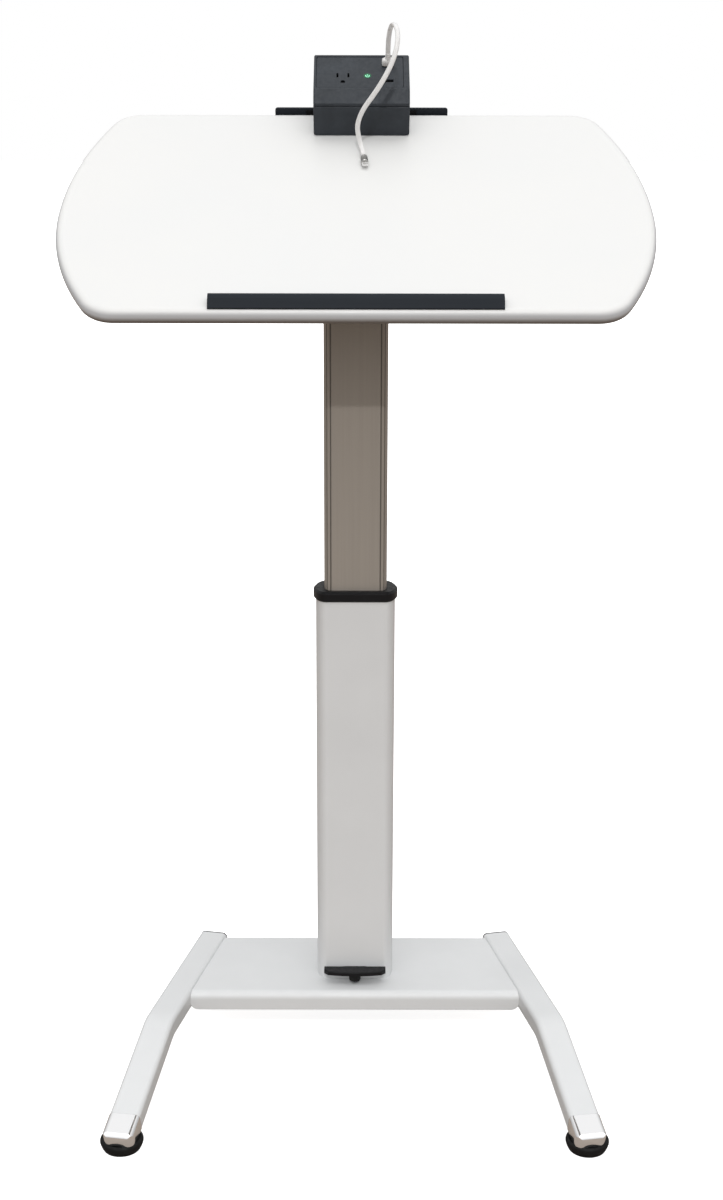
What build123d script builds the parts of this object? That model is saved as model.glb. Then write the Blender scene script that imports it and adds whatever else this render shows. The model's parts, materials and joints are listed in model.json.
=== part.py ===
"""Lectern stand: a tilting worktop on a gas-lift column that stands on a splayed base."""
from build123d import *
from math import cos, radians, sin, tan
import os

# Millimetres, +Z up, +Y away from the reader. Parts are drawn about the column's axis, and the
# whole stand is moved by COLUMN_Y at the end, which centres its footprint on the origin.
COLUMN_Y = 36.9

# Base
FOOT_X, FOOT_Y = 257.0, -274.0      # centre of a front foot
FOOT_R, FOOT_T = 24.0, 13.0
BEND_X, BEND_Y = 230.0, -123.0      # where a leg starts to drop towards its foot
SPLAY = 12.1                        # degrees between a leg and the Y axis behind the bend, in plan
LEG_WIDTH, LEG_HEIGHT, LEG_CORNER, LEG_WALL = 35.0, 25.0, 6.0, 2.0
LEG_TOP = 75.0
LEG_MIDDLE = LEG_TOP - LEG_HEIGHT / 2
LEG_REAR_Y, LEG_BEND_R = 96.0, 60.0
TOE_X, TOE_Z = 256.0, 20.8          # the tube's centre line, carried on to above the foot
TOE_START, TOE_LENGTH, TOE_SPIGOT, TOE_OVER = 12.0, 33.6, 14.0, 0.8
NOSE_PLAN_R, NOSE_TOP_R = 10.0, 6.5
CAP_T = 3.0
PLATE_TOP, PLATE_DROP, PLATE_T, PLATE_ROUND = 74.0, 22.5, 3.0, 9.0
PLATE_FRONT_Y, PLATE_REAR_Y = -62.0, 90.0
BOLT_YS = (-30.0, 36.0)
WHEEL_R, WHEEL_W, WHEEL_Y, AXLE_R = 20.5, 16.0, 62.0, 4.0
RUNNING = 0.05                      # radial clearance of a shaft in its hole
SLIDING = 0.4                       # clearance of a sleeve on a column

# Columns
OUTER_W, OUTER_D, OUTER_FLAT, COLUMN_WALL = 92.5, 52.0, 68.0, 2.5
OUTER_TOP = 556.0
COLLAR_W, COLLAR_D, COLLAR_H = 98.0, 56.5, 12.0
INNER_W, INNER_D, INNER_FLAT = 73.0, 38.0, 58.0
INNER_BOTTOM, INNER_TOP = 395.0, 905.0
GROOVE_X, GROOVE_W, GROOVE_DEEP = 28.5, 1.6, 1.0
FINE_X, FINE_Y, FINE_W, FINE_DEEP = 32.7, 16.5, 0.8, 0.7
PORT_X, PORT_Y, PORT_R, PORT_BORE_R = 25.0, 12.0, 4.5, 2.5
GUIDE_H, GLIDE_H = 60.0, 40.0

# Gas spring and pedal
ROD_R, ROD_TOP, PISTON_H = 5.0, 530.0, 12.0
CYLINDER_R, CYLINDER_BORE_R, CYLINDER_BOTTOM, CYLINDER_TOP = 14.0, 12.7, 470.0, 888.0
GLAND_H = 15.0
FOOT_PLATE_T = 10.0
BRIDGE_BOTTOM, BRIDGE_T, CHEEK_X, CHEEK_T = 114.0, 10.0, 18.0, 4.0
PIVOT_Y, PIVOT_Z, PIVOT_R = -16.0, 96.0, 4.0
LEVER_W, LEVER_T, LEVER_Z = 24.0, 2.5, 88.0
LEVER_SLOT_W, LEVER_SLOT_LOW, LEVER_SLOT_GAP = 29.0, 83.0, 0.5
PIN_R, PIN_BOTTOM, PIN_TOP, NOSE_TOP = 2.0, 106.0, 140.0, 105.7
TREAD_W, TREAD_T, TREAD_BACK_Y, TREAD_FRONT_Y = 75.0, 5.0, -28.5, -45.5
BUMPER_R, BUMPER_BOTTOM, BUMPER_Y = 7.0, 78.5, -38.0

# Tilting head
TILT = 28.6                         # degrees from horizontal, as built
PIN_Z, TILT_PIN_R = 945.0, 5.0
HEAD_T, EAR_T, HEAD_W, EAR_R = 6.0, 4.0, 73.0, 15.0
WASHER_T, WASHER_GAP, WASHER_R = 0.9, 0.1, 13.0
BRACKET_T, BRACKET_W, BRACKET_L, BRACKET_EAR_R = 4.0, 180.0, 220.0, 14.0

# Worktop, in the head's own frame: origin on the tilt pin, +Y up the slope, +Z off the surface
SURFACE, BOARD_T, BULLNOSE = 47.1, 18.5, 9.0
BOARD_FRONT, BOARD_BACK, WIDEST_Y = -168.8, 235.4, 18.0
HALF_WIDTH, REAR_ARC_R, FRONT_ARC_R = 328.0, 480.0, 342.0
REAR_CORNER_R, FRONT_CORNER_R = 38.0, 40.0
LEDGE_W, LEDGE_BACK, LEDGE_D, LEDGE_LIP = 305.0, -144.6, 19.0, 1.4
RAIL_X, RAIL_W, RAIL_T, RAIL_RISE, RAIL_FLANGE = 6.0, 204.0, 3.0, 5.0, 38.0
SLOT_XS, SLOT_HALF_W, SLOT_LOW, SLOT_HIGH, SLOT_BACKING = (-61.0, 61.0), 4.5, -3.8, 2.8, 1.0

# Power unit, in the same frame
UNIT_X, UNIT_W, UNIT_FRONT, UNIT_BACK = 6.0, 111.0, 181.6, 263.4
UNIT_SPLIT, SEAM, SHELL, LIP = 37.2, 1.0, 3.5, 3.0
UNIT_EDGE_R, UNIT_CORNER_R, UNIT_CHAMFER = 2.0, 3.5, 1.0
FACET_Y, FACET_Z = 195.6, 99.0      # top of the front facet, where the sloped panel starts
PANEL_END_Y, PANEL_END_Z = 260.1, 107.4
PLATE_X, FACE_W, FACE_H, FACE_T, FACE_POCKET, FACE_GAP = -2.0, 100.0, 58.0, 1.6, 2.0, 0.7
OUTLET_X, SLOT_PITCH, SLOT_Y, GROUND_Y = -21.6, 12.7, -5.8, -17.7
LAMP_X, LAMP_Y, LAMP_R = 6.8, -6.9, 4.5
USB_X, USB_YS = 30.5, (-16.3, 13.3)
USB_W, USB_H, USB_DEEP = 12.6, 5.2, 13.0
GLAND_R = 6.0
PLUG_W, PLUG_D, PLUG_LOW, GRIP_TOP, SLEEVE_TOP = 14.0, 8.0, 0.6, 8.0, 16.0

# Charging lead, drawn in the finished frame. Hand-set route from the plug to the connector.
LEAD_D = 5.6
BARREL_R, BARREL_L, TIP_L = 4.2, 12.0, 6.5
LEAD_ROUTE = [
    (36.5, 188.9, 1165.44),
    (36.5, 177.0, 1181.8),
    (39.5, 158.9, 1196.0),
    (43.5, 139.9, 1196.5),
    (47.0, 124.9, 1184.0),
    (44.0, 117.9, 1164.0),
    (35.5, 116.9, 1144.0),
    (22.5, 119.9, 1123.0),
    (7.0, 125.9, 1103.0),
    (0.5, 133.9, 1086.0),
    (3.0, 139.7, 1071.0),
    (7.6, 134.0, 1057.1),
    (8.7, 122.6, 1050.9),
]


def stadium(width, depth, flat):
    """Flat front and back, elliptical ends."""
    end = Ellipse((width - flat) / 2, depth / 2)
    return Rectangle(flat, depth) + Pos(flat / 2, 0) * end + Pos(-flat / 2, 0) * end


def prism(sketch, low, high):
    return extrude(Pos(0, 0, low) * sketch, amount=high - low)


def rod_z(x, y, radius, low, high):
    return prism(Pos(x, y) * Circle(radius), low, high)


def rod_x(y, z, radius, low, high):
    return extrude(Plane.YZ.offset(low) * Pos(y, z) * Circle(radius), amount=high - low)


def block(x, y, z):
    """A box from three (low, high) pairs."""
    return Pos(sum(x) / 2, sum(y) / 2, sum(z) / 2) * Box(x[1] - x[0], y[1] - y[0], z[1] - z[0])


def across(points, width, centre=0.0):
    """A (y, z) outline drawn out along X."""
    face = make_face(Polyline(*points, close=True))
    return Pos(centre, 0, 0) * extrude(Plane.YZ * face, amount=width / 2, both=True)


def screw(x, y, under_head, tip, head_r=4.5, shank_r=2.5, head_h=3.0):
    """A pan-head screw driven upwards, or downwards where the tip is below the head."""
    up = 1 if tip > under_head else -1
    head = rod_z(x, y, head_r, under_head - up * head_h, under_head)
    head = fillet(head.edges().filter_by(GeomType.CIRCLE).sort_by(Axis.Z)[0 if up > 0 else -1], 1.0)
    return head + rod_z(x, y, shank_r, under_head, tip)


def leg_centre_x(y):
    return BEND_X - (y - BEND_Y) * tan(radians(SPLAY))


def leg_frame(side):
    """Origin on the floor under the bend, +X back along the leg."""
    return Pos(side * BEND_X, BEND_Y, 0) * Rot(0, 0, 90 + side * SPLAY)


def along_leg(y):
    return (y - BEND_Y) / cos(radians(SPLAY))


def leg_line(side):
    """Centre line of the tube in the leg's frame, from its rear end to its front end."""
    foot_at = Vector(side * (TOE_X - BEND_X), FOOT_Y - BEND_Y, 0).rotate(Axis.Z, -90 - side * SPLAY)
    front = foot_at * (1 - TOE_START / foot_at.length)
    rise = (LEG_MIDDLE - TOE_Z) * TOE_START / foot_at.length
    rear = (along_leg(LEG_REAR_Y), 0, LEG_MIDDLE)
    return FilletPolyline(rear, (0, 0, LEG_MIDDLE), (front.X, front.Y, TOE_Z + rise), radius=LEG_BEND_R)


def leg(side):
    line = leg_line(side)
    end = Plane(line @ 0, x_dir=(0, 1, 0), z_dir=line % 0)
    tube = sweep(end * RectangleRounded(LEG_WIDTH, LEG_HEIGHT, LEG_CORNER), path=line)
    bore = RectangleRounded(LEG_WIDTH - 2 * LEG_WALL, LEG_HEIGHT - 2 * LEG_WALL, LEG_CORNER - LEG_WALL)
    tube = leg_frame(side) * (tube - sweep(end * bore, path=line))
    return tube - rod_z(side * FOOT_X, FOOT_Y, FOOT_R + 1, 0, FOOT_T)


def leg_cap(side):
    rear = Pos(along_leg(LEG_REAR_Y), 0, LEG_MIDDLE) * Rot(0, 90, 0)
    outline = RectangleRounded(LEG_HEIGHT, LEG_WIDTH, LEG_CORNER)
    plug = RectangleRounded(LEG_HEIGHT - 5, LEG_WIDTH - 5, LEG_CORNER - 3)
    cap = rear * extrude(outline, amount=CAP_T)
    cap = chamfer(cap.faces().sort_by(Axis.X)[-1].edges(), 0.8)
    return leg_frame(side) * (cap + rear * extrude(plug, amount=-10))


def nose():
    """The toe cap's body: X across, Y up, +Z forwards, rounded in plan and over its top."""
    width, height = LEG_WIDTH + TOE_OVER, LEG_HEIGHT + TOE_OVER
    body = extrude(RectangleRounded(width, height, LEG_CORNER), amount=TOE_LENGTH)
    in_plan = extrude(Plane.XZ * RectangleRounded(width, 2 * TOE_LENGTH, NOSE_PLAN_R), amount=height, both=True)
    from_side = extrude(Plane.YZ * RectangleRounded(height, 2 * TOE_LENGTH, NOSE_TOP_R), amount=width, both=True)
    return body & in_plan & from_side


def toe_cap(side):
    """Bright casting over the tube's front end, cut level where it sits on the foot."""
    line = leg_line(side)
    front = Plane(line @ 1, x_dir=Vector(0, 0, 1).cross(line % 1), z_dir=line % 1)
    plug = front * RectangleRounded(LEG_WIDTH - 5, LEG_HEIGHT - 5, LEG_CORNER - 3)
    cap = front.location * nose() + extrude(plug, amount=-TOE_SPIGOT)
    below = Pos(side * FOOT_X, FOOT_Y, 0) * block((-60, 60), (-60, 60), (-20, FOOT_T))
    return leg_frame(side) * cap - below - foot_stud(side)


def foot_stud(side):
    return rod_z(side * FOOT_X, FOOT_Y, 4.0, 4.0, 26.0)


def foot(side):
    pad = rod_z(side * FOOT_X, FOOT_Y, FOOT_R, 0, FOOT_T)
    pad = fillet(pad.edges().filter_by(GeomType.CIRCLE).sort_by(Axis.Z)[-1], 3.0)
    pad = chamfer(pad.edges().filter_by(GeomType.CIRCLE).sort_by(Axis.Z)[0], 1.0)
    return pad - foot_stud(side)


def plate_outline(inset):
    """Plan of the base plate, whose ends lie against the legs."""
    front, rear = PLATE_FRONT_Y + inset, PLATE_REAR_Y - inset
    reach = (LEG_WIDTH / 2 + inset) / cos(radians(SPLAY))
    front_x, rear_x = leg_centre_x(front) - reach, leg_centre_x(rear) - reach
    return make_face(Polyline((-front_x, front), (front_x, front), (rear_x, rear), (-rear_x, rear), close=True))


def long_top_edges(solid):
    """The top edges that run along X."""
    return solid.edges().filter_by(Axis.X).group_by(Axis.Z)[-1]


def base_plate():
    outer = prism(plate_outline(0), PLATE_TOP - PLATE_DROP, PLATE_TOP)
    outer = fillet(long_top_edges(outer), PLATE_ROUND)
    inner = prism(plate_outline(PLATE_T), PLATE_TOP - PLATE_DROP - 1, PLATE_TOP - PLATE_T)
    inner = fillet(long_top_edges(inner), PLATE_ROUND - PLATE_T)
    shell = outer - inner
    for side in (-1, 1):
        shell -= lower_corner(side)
    return shell - leg_bolts() - column_screws()


def lower_corner(side):
    """What is taken off a lower front corner of the plate to round it."""
    size = 9.0
    end_x = leg_centre_x(PLATE_FRONT_Y) - LEG_WIDTH / 2 / cos(radians(SPLAY))
    centre = (end_x - size, PLATE_TOP - PLATE_DROP + size)
    corner = block((centre[0], end_x + 5), (PLATE_FRONT_Y - 1, PLATE_FRONT_Y + 8), (centre[1] - size - 1, centre[1]))
    round_off = Pos(centre[0], PLATE_FRONT_Y, centre[1]) * Rot(90, 0, 0) * Cylinder(size, 40)
    cutter = corner - round_off
    return cutter if side > 0 else mirror(cutter, about=Plane.YZ)


def leg_bolt(side, y):
    """Hex bolt through the plate's end flange and the leg's wall."""
    frame = leg_frame(side) * Pos(along_leg(y), side * LEG_WIDTH / 2, LEG_MIDDLE) * Rot(side * 90, 0, 0)
    head = extrude(Pos(0, 0, -PLATE_T - 5) * RegularPolygon(7.0, 6), amount=5)
    shank = extrude(Pos(0, 0, -PLATE_T) * Circle(4.0), amount=PLATE_T + 13)
    nut = extrude(Pos(0, 0, LEG_WALL) * RegularPolygon(7.0, 6), amount=6)
    return frame * (head + shank + nut)


def leg_bolts():
    return [leg_bolt(side, y) for side in (-1, 1) for y in BOLT_YS]


def base_stiffener():
    top = PLATE_TOP - PLATE_T
    return prism(RectangleRounded(150, 90, 10), top - 6, top) - column_screws()


def column_screws():
    """Four screws from below the stiffener into the column's foot."""
    under = PLATE_TOP - PLATE_T - 6
    places = [(x, y) for x in (-32, 32) for y in (-14, 14)]
    return [screw(x, y, under, PLATE_TOP + 8, head_r=6.5, shank_r=4, head_h=4.5) for x, y in places]


def column_foot():
    """Casting that plugs the bottom of the outer column and carries the spring bracket."""
    size = stadium(OUTER_W - 2 * COLUMN_WALL - 0.2, OUTER_D - 2 * COLUMN_WALL - 0.2, OUTER_FLAT)
    return prism(size, PLATE_TOP, PLATE_TOP + FOOT_PLATE_T) - column_screws()


def outer_column():
    bore = stadium(OUTER_W - 2 * COLUMN_WALL, OUTER_D - 2 * COLUMN_WALL, OUTER_FLAT)
    tube = prism(stadium(OUTER_W, OUTER_D, OUTER_FLAT) - bore, PLATE_TOP, OUTER_TOP)
    half, front = LEVER_SLOT_W / 2, -OUTER_D / 2
    top = LEVER_Z + LEVER_T + LEVER_SLOT_GAP
    return tube - block((-half, half), (front - 1, front + 5), (LEVER_SLOT_LOW, top))


def collar():
    ring = prism(stadium(COLLAR_W, COLLAR_D, OUTER_FLAT), OUTER_TOP, OUTER_TOP + COLLAR_H)
    ring = chamfer(ring.faces().sort_by(Axis.Z)[-1].edges(), 2.5)
    ring = chamfer(ring.faces().sort_by(Axis.Z)[0].edges(), 1.5)
    opening = stadium(INNER_W + 2 * SLIDING, INNER_D + 2 * SLIDING, INNER_FLAT)
    return ring - prism(opening, OUTER_TOP, OUTER_TOP + COLLAR_H)


def upper_guide():
    outline = stadium(OUTER_W - 2 * COLUMN_WALL - 0.2, OUTER_D - 2 * COLUMN_WALL - 0.2, OUTER_FLAT)
    opening = stadium(INNER_W + 2 * SLIDING, INNER_D + 2 * SLIDING, INNER_FLAT)
    return prism(outline - opening, OUTER_TOP - GUIDE_H, OUTER_TOP)


def wheel_place(side):
    return Pos(side * leg_centre_x(WHEEL_Y), WHEEL_Y, WHEEL_R)


def wheel_fork(side):
    """U bracket under the rear of a leg."""
    half, top = WHEEL_W / 2 + 4.5, LEG_TOP - LEG_HEIGHT - WHEEL_R
    web = block((-half, half), (-15, 15), (top - 3, top))
    cheek = Plane.YZ.offset(half - 2.5) * (Circle(9) + Pos(0, top / 2) * Rectangle(18, top))
    cheeks = extrude(cheek, amount=2.5)
    cheeks += mirror(cheeks, about=Plane.YZ)
    fork = fillet(web.edges().filter_by(Axis.Z), 4) + cheeks
    return wheel_place(side) * (fork - rod_x(0, 0, AXLE_R, -40, 40))


def wheel_axle(side):
    half = WHEEL_W / 2 + 4.5
    pin = rod_x(0, 0, AXLE_R, -half - 2, half + 2)
    heads = rod_x(0, 0, 6.5, -half - 3.5, -half) + rod_x(0, 0, 6.5, half, half + 3.5)
    return wheel_place(side) * (pin + heads)


def wheel_hub(side):
    half = WHEEL_W / 2
    hub = rod_x(0, 0, 15.0, -half, half) - rod_x(0, 0, 12.5, half - 3, half) - rod_x(0, 0, 12.5, -half, 3 - half)
    hub += rod_x(0, 0, 7.5, -half - 1, half + 1)
    return wheel_place(side) * (hub - rod_x(0, 0, AXLE_R + RUNNING, -40, 40))


def wheel_tyre(side):
    half = WHEEL_W / 2
    tyre = rod_x(0, 0, WHEEL_R, -half, half)
    tyre = fillet(tyre.edges().filter_by(GeomType.CIRCLE), 3.0)
    return wheel_place(side) * (tyre - rod_x(0, 0, 15.0, -half, half))


def spring_bracket():
    """Steel saddle on the column's foot: it holds the spring's rod and the pedal's pivot."""
    low = PLATE_TOP + FOOT_PLATE_T
    high = BRIDGE_BOTTOM + BRIDGE_T
    bridge = block((-CHEEK_X - CHEEK_T, CHEEK_X + CHEEK_T), (-13, 13), (BRIDGE_BOTTOM, high))
    cheek = block((CHEEK_X, CHEEK_X + CHEEK_T), (-22, 13), (low, high - 6))
    saddle = bridge + cheek + mirror(cheek, about=Plane.YZ)
    return saddle - rod_z(0, 0, ROD_R, low, high) - pedal_pin()


def pedal_pin():
    end = CHEEK_X + CHEEK_T + 2
    return rod_x(PIVOT_Y, PIVOT_Z, PIVOT_R, -end, end)


def spring_rod():
    rod = rod_z(0, 0, ROD_R, BRIDGE_BOTTOM, ROD_TOP)
    rod += rod_z(0, 0, CYLINDER_BORE_R - SLIDING, ROD_TOP - PISTON_H, ROD_TOP)
    return rod - rod_z(0, 0, PIN_R + RUNNING, BRIDGE_BOTTOM, PIN_TOP + 10)


def release_pin():
    return rod_z(0, 0, PIN_R, PIN_BOTTOM, PIN_TOP)


def pedal_lever():
    """Flat arm out to the tread, a hub on the pivot and a nose under the release pin."""
    arm = across([(-43, LEVER_Z), (PIVOT_Y, LEVER_Z), (PIVOT_Y, LEVER_Z + LEVER_T), (-43, LEVER_Z + LEVER_T)], LEVER_W)
    hub = rod_x(PIVOT_Y, PIVOT_Z, 7.0, -LEVER_W / 2, LEVER_W / 2)
    tail = [(PIVOT_Y, 90), (3, 95), (5, 99), (4, NOSE_TOP), (-4, NOSE_TOP), (-6, 101.5), (PIVOT_Y, 102)]
    lever = arm + hub + across(tail, LEVER_W)
    return lever - rod_x(PIVOT_Y, PIVOT_Z, PIVOT_R + RUNNING, -20, 20)


def pedal_tread():
    """Moulded pad with a bowed front and clipped corners, pushed over the lever."""
    half, back, front = TREAD_W / 2, TREAD_BACK_Y, TREAD_FRONT_Y
    edge = [Line((-half, back), (half, back)), Line((half, back), (half, front + 8)),
            Line((half, front + 8), (half - 5, front + 3)),
            ThreePointArc((half - 5, front + 3), (0, front), (5 - half, front + 3)),
            Line((5 - half, front + 3), (-half, front + 8)), Line((-half, front + 8), (-half, back))]
    pad = prism(make_face(edge), LEVER_Z - 0.5, LEVER_Z - 0.5 + TREAD_T)
    pad = fillet(pad.faces().sort_by(Axis.Z)[-1].edges(), 1.2)
    return pad - pedal_lever() - pedal_bumper()


def pedal_bumper():
    knob = rod_z(0, BUMPER_Y, BUMPER_R, BUMPER_BOTTOM, LEVER_Z)
    return fillet(knob.edges().filter_by(GeomType.CIRCLE).sort_by(Axis.Z)[0], 3.0)


def inner_column():
    """Extrusion with a wide and a fine groove near each end of both faces, and four screw ports inside."""
    bore = stadium(INNER_W - 2 * COLUMN_WALL, INNER_D - 2 * COLUMN_WALL, INNER_FLAT)
    section = stadium(INNER_W, INNER_D, INNER_FLAT) - bore
    for x in (-PORT_X, PORT_X):
        for y in (-PORT_Y, PORT_Y):
            web = Pos(x, y * 1.25) * Rectangle(5, 6)
            section += Pos(x, y) * Circle(PORT_R) + web
            section -= Pos(x, y) * Circle(PORT_BORE_R)
    for x in (-GROOVE_X, GROOVE_X):
        for y in (-INNER_D / 2, INNER_D / 2):
            section -= Pos(x, y) * Rectangle(GROOVE_W, 2 * GROOVE_DEEP)
    for x in (-FINE_X, FINE_X):
        for y in (-FINE_Y, FINE_Y):
            section -= Pos(x, y) * Rectangle(FINE_W, 2 * FINE_DEEP)
    return prism(section, INNER_BOTTOM, INNER_TOP)


def lower_glide():
    """Nylon sleeve on the foot of the inner column."""
    outline = stadium(OUTER_W - 2 * (COLUMN_WALL + SLIDING), OUTER_D - 2 * (COLUMN_WALL + SLIDING), OUTER_FLAT)
    sleeve = prism(outline - stadium(INNER_W, INNER_D, INNER_FLAT), INNER_BOTTOM, INNER_BOTTOM + GLIDE_H)
    lip = outline - stadium(INNER_W - 5, INNER_D - 5, INNER_FLAT)
    return sleeve + prism(lip, INNER_BOTTOM - 3, INNER_BOTTOM)


def spring_cylinder():
    body = rod_z(0, 0, CYLINDER_R, CYLINDER_BOTTOM, CYLINDER_TOP)
    body -= rod_z(0, 0, CYLINDER_BORE_R, CYLINDER_BOTTOM, CYLINDER_TOP - 6)
    return body + rod_z(0, 0, 5.0, CYLINDER_TOP, INNER_TOP + HEAD_T + 10)


def spring_gland():
    gland = rod_z(0, 0, CYLINDER_BORE_R, CYLINDER_BOTTOM, CYLINDER_BOTTOM + GLAND_H)
    return gland - rod_z(0, 0, ROD_R + RUNNING, CYLINDER_BOTTOM, CYLINDER_BOTTOM + GLAND_H)


def spring_nut():
    low = INNER_TOP + HEAD_T
    return prism(RegularPolygon(8.5, 6) - Circle(5.0), low, low + 7)


def head_bracket():
    """U bracket on top of the inner column, with an ear on each side for the tilt pin."""
    base = block((-HEAD_W / 2, HEAD_W / 2), (-INNER_D / 2, INNER_D / 2), (INNER_TOP, INNER_TOP + HEAD_T))
    outline = Pos(0, PIN_Z) * Circle(EAR_R)
    rise = PIN_Z - INNER_TOP - HEAD_T
    outline += Pos(0, PIN_Z - rise / 2) * Rectangle(2 * EAR_R, rise)
    ear = extrude(Plane.YZ.offset(HEAD_W / 2 - EAR_T) * outline, amount=EAR_T)
    bracket = base + ear + mirror(ear, about=Plane.YZ)
    bore = rod_x(0, PIN_Z, TILT_PIN_R, -60, 60)
    return bracket - bore - rod_z(0, 0, 5.0, INNER_TOP, INNER_TOP + HEAD_T) - head_screws()


def head_screws():
    under, tip = INNER_TOP + HEAD_T, INNER_TOP - 18
    return [screw(x, y, under, tip, shank_r=PORT_BORE_R) for x in (-PORT_X, PORT_X) for y in (-PORT_Y, PORT_Y)]


def tilt_pin():
    """Headed pin, with a threaded end for the knob."""
    pin = rod_x(0, PIN_Z, TILT_PIN_R, -43, 58)
    return pin + rod_x(0, PIN_Z, 9.0, -47, -42.5)


def friction_washers():
    ring = rod_x(0, PIN_Z, WASHER_R, HEAD_W / 2, HEAD_W / 2 + WASHER_T)
    ring -= rod_x(0, PIN_Z, TILT_PIN_R, 0, 60)
    return [ring, mirror(ring, about=Plane.YZ)]


def lock_knob():
    """Lobed knob that squeezes the ears together."""
    low, high = 43.0, 61.0
    grip = rod_x(0, PIN_Z, 16.0, low + 4, high)
    for turn in range(6):
        angle = radians(60 * turn)
        grip -= rod_x(19 * cos(angle), PIN_Z + 19 * sin(angle), 6.5, low, high + 1)
    grip = fillet(grip.faces().sort_by(Axis.X)[-1].edges(), 1.5)
    knob = grip + rod_x(0, PIN_Z, 10.0, low, low + 4)
    return knob - rod_x(0, PIN_Z, TILT_PIN_R + RUNNING, low, 58.5)


def board_outline():
    """Half-outline arcs either side of the widest point, mirrored about the middle."""
    def x_at(y, radius):
        return HALF_WIDTH - radius + (radius ** 2 - (y - WIDEST_Y) ** 2) ** 0.5

    back_x, front_x = x_at(BOARD_BACK, REAR_ARC_R), x_at(BOARD_FRONT, FRONT_ARC_R)
    rear_mid, front_mid = (BOARD_BACK + WIDEST_Y) / 2, (BOARD_FRONT + WIDEST_Y) / 2
    lines = [Line((-back_x, BOARD_BACK), (back_x, BOARD_BACK)), Line((-front_x, BOARD_FRONT), (front_x, BOARD_FRONT))]
    for side in (-1, 1):
        widest = (side * HALF_WIDTH, WIDEST_Y)
        rear = (side * x_at(rear_mid, REAR_ARC_R), rear_mid)
        front = (side * x_at(front_mid, FRONT_ARC_R), front_mid)
        lines.append(ThreePointArc((side * back_x, BOARD_BACK), rear, widest))
        lines.append(ThreePointArc(widest, front, (side * front_x, BOARD_FRONT)))
    face = make_face(lines)
    face = fillet(face.vertices().group_by(Axis.Y)[-1], REAR_CORNER_R)
    return fillet(face.vertices().group_by(Axis.Y)[0], FRONT_CORNER_R)


def board():
    slab = prism(board_outline(), SURFACE - BOARD_T, SURFACE)
    slab = fillet(slab.faces().sort_by(Axis.Z)[-1].edges() + slab.faces().sort_by(Axis.Z)[0].edges(), BULLNOSE)
    return slab - board_screws() - edge_screws()


def board_bracket():
    """Plate under the worktop with two ears that hang on the tilt pin."""
    top = SURFACE - BOARD_T
    plate = prism(RectangleRounded(BRACKET_W, BRACKET_L, 12), top - BRACKET_T, top)
    inside = HEAD_W / 2 + WASHER_T + WASHER_GAP
    outline = Circle(BRACKET_EAR_R) + Pos(0, (top - BRACKET_T) / 2) * Rectangle(2 * BRACKET_EAR_R, top - BRACKET_T)
    ear = extrude(Plane.YZ.offset(inside) * outline, amount=EAR_T)
    bracket = plate + ear + mirror(ear, about=Plane.YZ)
    return bracket - rod_x(0, 0, TILT_PIN_R + RUNNING, -60, 60) - board_screws()


def board_screws():
    under = SURFACE - BOARD_T - BRACKET_T
    places = [(x, y) for x in (-72, 72) for y in (-92, 0, 92)]
    return [screw(x, y, under, SURFACE - 6) for x, y in places]


def edge_screws():
    """Screws up through the worktop into the ledge, and through the rail into the worktop."""
    under = SURFACE - BOARD_T
    ledge_row = [screw(x, LEDGE_BACK - 6, under, SURFACE + 4, shank_r=2.0) for x in (-125, 0, 125)]
    rail_row = [screw(RAIL_X + x, 218, under - RAIL_T, SURFACE - 6, shank_r=2.0) for x in (-86, 86)]
    return ledge_row + rail_row


def ledge():
    """Low stop along the front of the worktop, higher at its back."""
    b, s = LEDGE_BACK, SURFACE
    outline = [(b, s), (b, s + 5.5), (b - 3, s + 8.5), (b - 6.5, s + 9), (b - 11, s + 8),
               (b - LEDGE_D, s + LEDGE_LIP), (b - LEDGE_D, s)]
    bar = across(outline, LEDGE_W)
    bar = fillet(bar.edges().filter_by(Axis.X).group_by(Axis.Z)[-1], 1.5)
    bar = chamfer(bar.faces().filter_by(Axis.X).edges().group_by(Axis.Z)[-1], 0.6)
    return bar - edge_screws()


def rear_rail():
    """Angle behind and under the back edge, with a blind slot each side of the power unit."""
    low, high = SURFACE - BOARD_T - RAIL_T, SURFACE + RAIL_RISE
    back = BOARD_BACK + RAIL_T
    upright = block((-RAIL_W / 2, RAIL_W / 2), (BOARD_BACK, back), (low, high))
    upright = fillet(upright.edges().filter_by(Axis.Y).group_by(Axis.Z)[-1], 3.0)
    flange = block((-RAIL_W / 2, RAIL_W / 2), (back - RAIL_FLANGE, back), (low, low + RAIL_T))
    rail = upright + flange
    for x in SLOT_XS:
        depth, height = (BOARD_BACK - 1, back - SLOT_BACKING), (SURFACE + SLOT_LOW, SURFACE + SLOT_HIGH)
        rail -= block((x - SLOT_HALF_W, x + SLOT_HALF_W), depth, height)
    return Pos(RAIL_X, 0, 0) * rail - edge_screws()


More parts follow.
